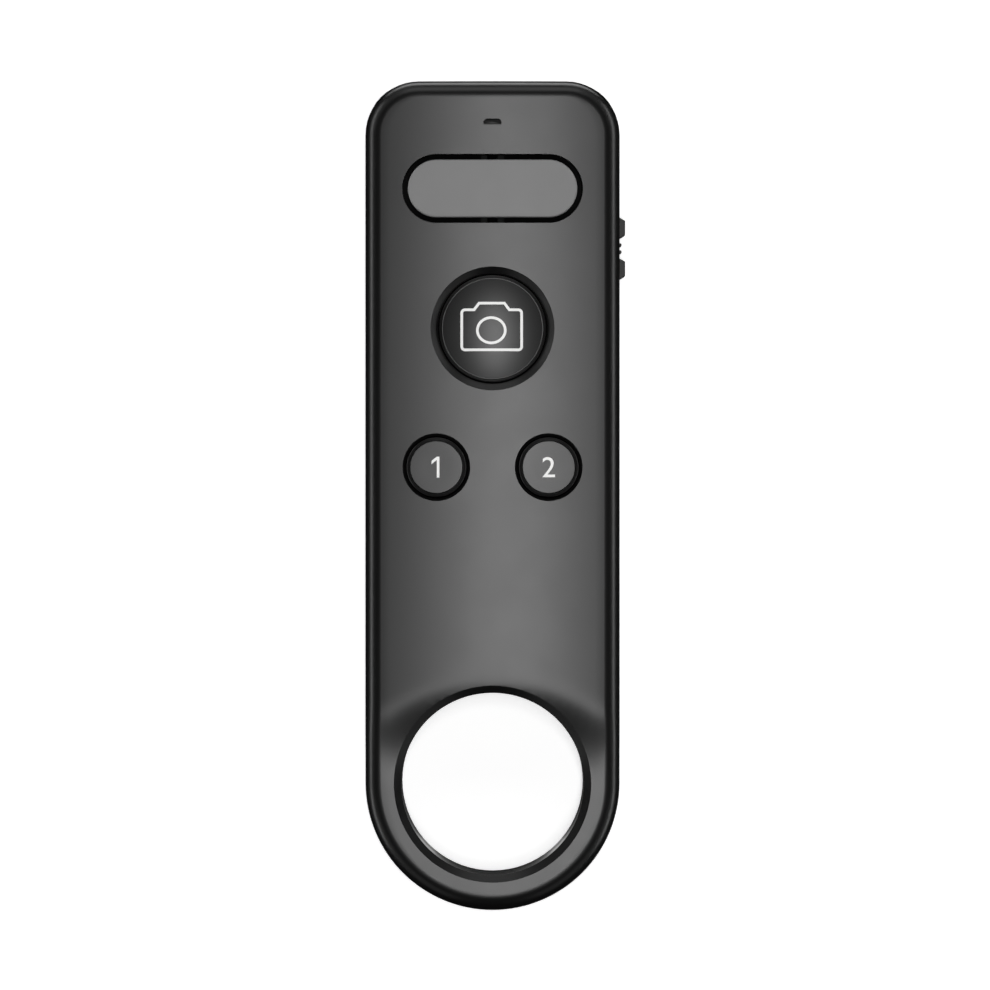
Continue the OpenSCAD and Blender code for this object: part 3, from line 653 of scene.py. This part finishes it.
knob_edge = 0.07 * mm
slider_piece = copy_of("power_slider", "power_slider_moulded")
select(slider_piece, "EDGE", lambda e: min(v.co.x for v in e.verts) > half_w - wall
       and e.calc_face_angle(0) > math.radians(20))
bpy.ops.mesh.bevel(offset=knob_edge, segments=2, affect="EDGES")
bpy.ops.object.mode_set(mode="OBJECT")
smooth(slider_piece)
copies = []
for node in ("rear_shell", "battery_door", "case_screws"):
    piece = copy_of(node, node + "_smoothed")
    bpy.ops.object.mode_set(mode="OBJECT")
    smooth(piece, 24)
    copies.append(piece)
rear_piece, door_piece, screw_piece = copies
print("copies:", [(len(p.data.polygons), open_edges(p)) for p in [slider_piece] + copies])

# %% [markdown]
# The marks are printed: a film of white ink a few hundredths of a millimetre thick. It
# could be painted by a material, but a thin mesh stays crisp at any distance. A camera
# outline is drawn from a sheet with a stroke left by an inset, and the two small keys
# carry plain numerals. Each film is dropped on to its cap, so it follows the dome.

# %% How a printed film is laid
stroke = 0.31 * mm
film_z = cap_z + mm


def lay_film(film, cap):
    """Drops a flat film on to a cap and gives it its thickness."""
    drop = film.modifiers.new("drop", "SHRINKWRAP")
    drop.target = cap
    drop.wrap_method = "PROJECT"
    drop.use_project_z = True
    drop.use_negative_direction = True
    drop.use_positive_direction = False
    drop.offset = ink_t / 2
    body = film.modifiers.new("body", "SOLIDIFY")
    body.thickness = ink_t
    body.offset = 0
    apply_all(film)
    tidy(film, near / 20)
    return film


def stroke_of(piece, width, cuts):
    """Leaves a stroke along the outline of a sheet, and divides it finely."""
    select(piece, "FACE", lambda f: True)
    bpy.ops.mesh.inset(thickness=width, use_even_offset=True)
    bpy.ops.mesh.delete(type="FACE")
    bpy.ops.mesh.select_all(action="SELECT")
    bpy.ops.mesh.subdivide(number_cuts=cuts)
    bpy.ops.object.mode_set(mode="OBJECT")


# %% Camera outline on the shutter cap
# Its sizes are kept as pixels of the photograph, 8.5 to a millimetre.
px = mm / 8.5
body_l, body_h = 62.4 * px, 42.6 * px
body_low = shutter.y - 22.7 * px
body_x = shutter.x - 0.85 * px
hump_top_l, hump_foot_l, hump_h = 26.5 * px, 36.5 * px, 6.6 * px
body_corner = 4.5 * px
deselect()
bpy.ops.mesh.primitive_plane_add(size=1, location=(body_x, body_low + body_h / 2, film_z))
figure = bpy.context.object
figure.scale = (body_l, body_h, 1)
settle(figure, "camera_figure")
edit(figure)
select(figure, "EDGE", lambda e: min(v.co.y for v in e.verts) > body_low + body_h / 2)
bpy.ops.mesh.subdivide(number_cuts=2)
select(figure, "VERT", lambda v: v.co.y > body_low + body_h / 2
       and abs(v.co.x - body_x) < body_l / 4)
bpy.ops.transform.resize(value=(3 * hump_foot_l / body_l, 1, 1),
                         center_override=(body_x, body_low + body_h, film_z))
bpy.ops.mesh.extrude_edges_move(TRANSFORM_OT_translate={"value": (0, hump_h, 0)})
bpy.ops.transform.resize(value=(hump_top_l / hump_foot_l, 1, 1),
                         center_override=(body_x, body_low + body_h, film_z))
select(figure, "EDGE", lambda e: not e.is_boundary)
bpy.ops.mesh.dissolve_edges(use_verts=False)
select(figure, "VERT", lambda v: abs(v.co.x - body_x) > 0.49 * body_l)
bpy.ops.mesh.bevel(offset_type="OFFSET", offset=body_corner, segments=6, profile=0.5,
                   affect="VERTICES")
stroke_of(figure, stroke, 5)
lay_film(figure, shutter_piece)

deselect()
lens_l, lens_h = 30.4 * px, 27.8 * px
lens_x, lens_y = body_x - 0.4 * px, shutter.y - 1.9 * px
bpy.ops.mesh.primitive_circle_add(vertices=96, radius=lens_l / 2, fill_type="NGON",
                                  location=(lens_x, lens_y, film_z))
lens = bpy.context.object
lens.scale = (1, lens_h / lens_l, 1)
settle(lens, "camera_figure_lens")
edit(lens)
stroke_of(lens, stroke, 1)
lay_film(lens, shutter_piece)
print("camera figure:", len(figure.data.polygons), len(lens.data.polygons), "faces")

# %% Numeral 1 on the left key, a bar with a flag drawn out of its left side
numeral_h = 2.47 * mm
flag_reach = 0.62 * mm
bar_x = left_key.x + flag_reach / 3
deselect()
bpy.ops.mesh.primitive_plane_add(size=1, location=(bar_x, left_key.y, film_z))
one = bpy.context.object
one.scale = (stroke, numeral_h, 1)
settle(one, "numeral_1")
edit(one)
bpy.ops.mesh.select_all(action="SELECT")
flag_foot = left_key.y + numeral_h / 2 - 1.25 * stroke
bpy.ops.mesh.bisect(plane_co=(0, flag_foot, film_z), plane_no=(0, 1, 0))
bar_left = bar_x - stroke / 2
select(one, "EDGE", lambda e: max(v.co.x for v in e.verts) < bar_left + near
       and min(v.co.y for v in e.verts) > flag_foot - near)
bpy.ops.mesh.extrude_edges_move(
    TRANSFORM_OT_translate={"value": (-flag_reach, -0.8 * flag_reach, 0)})
bpy.ops.object.mode_set(mode="OBJECT")
lay_film(one, small_pieces[0])

# %% Numeral 2 on the right key, from the plain built-in lettering
# A numeral is as high as this share of the lettering's size.
numeral_share = 0.72
deselect()
bpy.ops.object.text_add(location=(0, 0, 0))
two = bpy.context.object
two.data.body = "2"
two.data.size = numeral_h / numeral_share
two.data.resolution_u = 12
pick(two)
bpy.ops.object.convert(target="MESH")
two = bpy.context.object
xs = [v.co.x for v in two.data.vertices]
ys = [v.co.y for v in two.data.vertices]
two.location = (right_key.x - (min(xs) + max(xs)) / 2,
                right_key.y - (min(ys) + max(ys)) / 2, film_z)
settle(two, "numeral_2")
lay_film(two, small_pieces[1])
print("numerals:", [(len(p.data.polygons), open_edges(p)) for p in (one, two)])

# %% Which body each new piece rides on, and what it stands for
rides = [
    (front, "case", "front_shell", "front_shell_plastic"),
    (rear_piece, "case", "rear_shell", "rear_shell_plastic"),
    (screw_piece, "case", "case_screws", "screw_steel"),
    (door_piece, "door", "battery_door", "door_plastic"),
    (shutter_piece, "shutter_key", "shutter_cap", "shutter_cap_plastic"),
    (small_pieces[0], "left_key", "left_cap", "small_cap_plastic"),
    (small_pieces[1], "right_key", "right_cap", "small_cap_plastic"),
    (zoom_piece, "zoom_key", "zoom_bar", "zoom_bar_plastic"),
    (slider_piece, "slider", "power_slider", "slider_plastic"),
]
for piece, body, node, slot in rides:
    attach(piece, body)
    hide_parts(node)
for piece, body in ((figure, "shutter_key"), (lens, "shutter_key"), (one, "left_key"),
                    (two, "right_key")):
    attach(piece, body)

# %% [markdown]
# Each material below is named for the real one. Two of them also carry painted shade: the
# near-black under the keys and the darkened solder mask. All of them share one recipe: a colour
# that drifts slightly over the surface, a roughness that drifts with it, and a fine grain as a
# bump. What differs is the colour, the gloss, and the size and depth of the grain.
# The grain of a satin mould measures some 0.03 mm, which is finer than a pixel here, so it
# is drawn about three times coarser, and shallow.

# %% Helpers for materials
def linear(code):
    """Linear colour of an sRGB hex code."""
    parts = [int(code[i:i + 2], 16) / 255 for i in (1, 3, 5)]
    return tuple(c / 12.92 if c <= 0.04045 else ((c + 0.055) / 1.055) ** 2.4
                 for c in parts) + (1,)


def add_node(tree, kind, settings=None, values=None, links=None):
    """Adds a node with its settings, socket values and incoming links."""
    made = tree.nodes.new(kind)
    for name, value in (settings or {}).items():
        setattr(made, name, value)
    for name, value in (values or {}).items():
        made.inputs[name].default_value = value
    for name, source in (links or {}).items():
        tree.links.new(source, made.inputs[name])
    return made


# The slow drift is forty grains wide, and moves the roughness this far either way.
drift_in_grains = 40
rough_drift = 0.015


def finish(name, code, dark_code, rough, grain, relief, stretch=(1, 1, 1), values=None):
    """A material with a drifting colour and roughness and a grain of a size in metres."""
    material = bpy.data.materials.new(name)
    material.use_nodes = True
    tree = material.node_tree
    shader = tree.nodes["Principled BSDF"]
    for socket, value in (values or {}).items():
        shader.inputs[socket].default_value = value
    place = add_node(tree, "ShaderNodeTexCoord").outputs["Object"]
    drawn = add_node(tree, "ShaderNodeMapping", {}, {"Scale": stretch}, {"Vector": place})
    fine = add_node(tree, "ShaderNodeTexNoise", {}, {"Scale": 1 / grain, "Detail": 3},
                    {"Vector": drawn.outputs["Vector"]})
    slow = add_node(tree, "ShaderNodeTexNoise", {},
                    {"Scale": 1 / (drift_in_grains * grain), "Detail": 2},
                    {"Vector": drawn.outputs["Vector"]})
    tint = add_node(tree, "ShaderNodeMix", {"data_type": "RGBA"}, {},
                    {"Factor": slow.outputs["Fac"]})
    tint.inputs["A"].default_value = linear(code)
    tint.inputs["B"].default_value = linear(dark_code)
    tree.links.new(tint.outputs["Result"], shader.inputs["Base Color"])
    spread = add_node(tree, "ShaderNodeMapRange", {},
                      {"To Min": rough - rough_drift, "To Max": rough + rough_drift},
                      {"Value": slow.outputs["Fac"]})
    tree.links.new(spread.outputs["Result"], shader.inputs["Roughness"])
    bump = add_node(tree, "ShaderNodeBump", {}, {"Strength": relief, "Distance": grain / 10},
                    {"Height": fine.outputs["Fac"]})
    tree.links.new(bump.outputs["Normal"], shader.inputs["Normal"])
    return material


def dress(piece, material):
    piece.data.materials.clear()
    piece.data.materials.append(material)


# %% [markdown]
# The outer plastics are ABS. The front is nearly black, so that all its light is gloss: a
# satin skin spreads the strip light over it into one soft band. The zoom key's upper face and
# side are lacquered grey, and everything below them carries a near-black painted shade, so that
# the gap round the key looks dark. The rear is spark-eroded: a coarser grain makes it matt.

# %% Plastics that show
gloss = {"Specular IOR Level": 0.3}
# Satin-moulded ABS gives one broad soft band of light on an even dark ground.
satin_black = finish("satin_black_abs", "#0e0e0e", "#0b0b0b", 0.305, 0.09 * mm, 0.03,
                     values=gloss)
cap_black = finish("cap_black_abs", "#0e0e0e", "#0b0b0b", 0.305, 0.09 * mm, 0.03,
                   values=gloss)
# A rougher mould face spreads the dome's highlight into a wide glow.
shutter_black = finish("fine_textured_black_abs", "#0e0e0e", "#0b0b0b", 0.36, 0.09 * mm,
                       0.03, values={"Specular IOR Level": 0.42})
# Lacquer sprayed on the black moulding gives a flat grey with hardly any gloss.
key_grey = finish("grey_lacquer_on_abs", "#808080", "#7c7c7c", 0.42, 0.09 * mm, 0.03,
                  values={"Specular IOR Level": 0.2})
# Painted shade: the flanks under the keys are coloured near-black and dull, so that the gaps look
# dark.
painted_shade_black = finish("painted_shade_black_abs", "#030303", "#020202", 0.8, 0.09 * mm, 0.05,
                    values={"Specular IOR Level": 0.06})
# The knob is textured for grip, and gives only short dull glints.
slider_black = finish("slider_black_abs", "#0c0c0c", "#0a0a0a", 0.48, 0.09 * mm, 0.04,
                      values=gloss)
# Spark erosion leaves a coarse grain, which turns a mirror band into a grey bloom.
rear_black = finish("spark_eroded_black_abs", "#1b1b1b", "#161616", 0.5, 0.18 * mm, 0.35)
door_black = finish("spark_eroded_black_abs_door", "#18181a", "#141415", 0.46, 0.15 * mm, 0.3)
# Pad-printed ink is matt and a little uneven, and it scatters nearly all of its light.
white_ink = finish("white_pad_printed_ink", "#fafaf9", "#f4f4f2", 0.42, 0.05 * mm, 0.02)

# %% [markdown]
# The pieces inside show at the gaps and when the part is taken apart. Rubber is black and
# matt, steel sheet has fine rolling lines, and the ceramics and resins are smooth.

# %% Metals, with the grain drawn out along the rolling or turning direction
metal = {"Metallic": 1.0}
rolled = (1, 0.06, 1)
# Rolled spring steel is bright, with fine lines along the sheet.
spring_steel = finish("rolled_stainless_spring_steel", "#c4c6c8", "#b4b6b9", 0.22, 0.05 * mm,
                      0.08, rolled, metal)
# Nickel plate is warm and bright, and the sheet's lines still show through it.
nickel_steel = finish("nickel_plated_steel_can", "#cfccc4", "#c2bfb8", 0.2, 0.06 * mm, 0.06,
                      rolled, metal)
# Tin plate is duller and bluer than nickel, with blurred reflections.
tin_steel = finish("tinned_steel_can", "#b9bbbd", "#a9abae", 0.3, 0.08 * mm, 0.1, rolled, metal)
# Stamped phosphor bronze keeps its rolled lines and a warm brown-gold tint.
bronze = finish("stamped_phosphor_bronze", "#c79a5b", "#b5884c", 0.28, 0.06 * mm, 0.08,
                rolled, metal)
# Blue-passivated zinc is a cool grey with soft, uneven reflections.
zinc_steel = finish("blue_zinc_plated_steel", "#9aa0a6", "#868c92", 0.3, 0.05 * mm, 0.1,
                    values=metal)

# %% Rubber, resins and ceramics
# Moulded silicone is dull and black, and only its edges catch some light.
silicone = finish("moulded_black_silicone_rubber", "#060606", "#040404", 0.85, 0.06 * mm, 0.1,
                  values={"Specular IOR Level": 0.15})
# Solder mask on the glass weave: a green film darkened almost to black as painted shade, so that
# the board stays dark in the gaps. It mirrors little.
solder_mask = finish("solder_mask_darkened_as_painted_shade", "#080d0a", "#060a08", 0.6,
                     0.12 * mm, 0.12, values={"Specular IOR Level": 0.25})
# Moulded epoxy has the fine matt grain of its mould.
chip_resin = finish("moulded_epoxy_chip_package", "#1a1a1b", "#141415", 0.55, 0.03 * mm, 0.15)
# Fired ceramics are smooth and hard, with small clear glints on a pale body.
antenna_blue = finish("fired_blue_ceramic", "#7fa6ba", "#7398ac", 0.35, 0.04 * mm, 0.06)
capacitor_tan = finish("fired_tan_ceramic", "#a98a5c", "#9a7c50", 0.4, 0.04 * mm, 0.06)
# Moulded nylon is black with a soft, waxy glow.
lever_black = finish("moulded_black_nylon", "#111112", "#0c0c0d", 0.45, 0.05 * mm, 0.1)
# Epoxy filled with phosphor looks pale yellow while the lamp is off.
lamp_epoxy = finish("pale_phosphor_epoxy", "#efe4b4", "#e6d9a2", 0.25, 0.04 * mm, 0.04)
# Polished polycarbonate is clear, and bends the light like a small lens.
clear_pipe = finish("polished_clear_polycarbonate", "#f4f6f7", "#eceff1", 0.06, 0.2 * mm, 0.01,
                    values={"Transmission Weight": 0.9, "IOR": 1.585})

# %% Every piece gets its material
for piece, material in (
        (front, satin_black), (shutter_piece, shutter_black), (small_pieces[0], cap_black),
        (small_pieces[1], cap_black), (zoom_piece, key_grey), (slider_piece, slider_black),
        (rear_piece, rear_black), (door_piece, door_black), (screw_piece, zinc_steel),
        (figure, white_ink), (lens, white_ink), (one, white_ink), (two, white_ink)):
    dress(piece, material)
node_finishes = {
    "key_mat": silicone, "light_pipe": clear_pipe, "indicator_led": lamp_epoxy,
    "circuit_board": solder_mask, "radio_chip": chip_resin, "crystal": nickel_steel,
    "chip_antenna": antenna_blue, "chip_parts": capacitor_tan, "switch_housing": tin_steel,
    "switch_lever": lever_black, "coin_cell": nickel_steel, "positive_contact": bronze,
    "negative_contact": bronze, "shutter_dome": spring_steel, "left_dome": spring_steel,
    "right_dome": spring_steel, "zoom_out_dome": spring_steel, "zoom_in_dome": spring_steel,
}
for node, material in node_finishes.items():
    dress(frame["nodes"][node], material)
# What lies under the keys' faces takes the near-black painted shade as its second material.
for piece, shaded_below_z in ((zoom_piece, cap_z - zoom_plate + 5 * near), (shutter_piece, ceiling_z),
                          (small_pieces[0], ceiling_z), (small_pieces[1], ceiling_z)):
    piece.data.materials.append(painted_shade_black)
    for polygon in piece.data.polygons:
        polygon.material_index = int(polygon.center.z < shaded_below_z)
print("materials:", len(bpy.data.materials))

# %% [markdown]
# The remote lies on a light table of white acrylic, which gives the pale ground its even
# glow. The light is a plain studio set: a long soft strip overhead that the satin face
# mirrors as one broad band, low panels at both sides that draw a thin streak along each
# rounded edge, and a dim one beyond the upper end. Two small cards near the table light the
# upper edge and the wall of the ring, and four dim corner panels fill the low views.

# %% Light table
deselect()
bpy.ops.mesh.primitive_plane_add(size=6)
floor = bpy.context.object
floor.name = "light_table"
table = finish("white_acrylic_light_table", "#e8e8e8", "#e4e4e4", 0.85, 20 * mm, 0.01,
               values={"Emission Strength": 0.6, "Emission Color": (1, 1, 1, 1)})
dress(floor, table)
# The table glows for the camera alone, because its light would wash out the dark plastic.
floor.visible_glossy = False
floor.visible_diffuse = False

world = bpy.data.worlds.new("dim_studio")
world.use_nodes = True
world.node_tree.nodes["Background"].inputs["Color"].default_value = (1, 1, 1, 1)
world.node_tree.nodes["Background"].inputs["Strength"].default_value = 0.01
bpy.context.scene.world = world
bpy.context.scene.view_settings.view_transform = "Standard"


# %% Softboxes
def softbox(name, place, size, radiance, target):
    """A rectangular lamp that faces a target and isn't seen itself."""
    deselect()
    bpy.ops.object.light_add(type="AREA", location=place)
    box = bpy.context.object
    box.name = name
    box.data.shape = "RECTANGLE"
    box.data.size, box.data.size_y = size
    box.data.energy = radiance * math.pi * size[0] * size[1]
    aim = Vector(target) - Vector(place)
    box.rotation_euler = aim.to_track_quat("-Z", "Y").to_euler()
    box.visible_camera = False
    return box


# Each lamp's name, place, size, radiance and the point that it faces, in metres.
lamps = [
    ("overhead_strip", (0.0275, -0.02, 1.0), (0.05, 0.5), 59, (0.0275, -0.02, 0)),
    ("left_panel", (-0.5, 0.05, 0.09), (0.8, 0.1), 6, (0, 0.05, 0.09)),
    ("right_panel", (0.5, 0.05, 0.09), (0.8, 0.1), 6, (0, 0.05, 0.09)),
    ("upper_end_panel", (0, 0.6, 0.35), (0.5, 0.34), 2, (0, 0, 0)),
    ("upper_end_card", (0, 0.075, 0.002), (0.05, 0.03), 5.2, (0, 0.075, 1)),
    ("ring_card", (0, ring_centre.y, 0.0005), (0.016, 0.016), 1, (0, ring_centre.y, 1)),
]
for lamp_settings in lamps:
    softbox(*lamp_settings)
corner_reach = 0.65
for x, y in arc(corner_reach, 45, 315, 3):
    softbox("corner_panel", (x, y, 0.3), (0.7, 0.4), 0.5, (0, 0, 0.1))

# %% Camera straight above the face
camera_place = (0.29 * mm, 0.13 * mm, 0.558)
deselect()
bpy.ops.object.camera_add(location=camera_place, rotation=(0, 0, 0))
camera = bpy.context.object
camera.data.sensor_width = 36
camera.data.lens = 169.8
bpy.context.scene.camera = camera
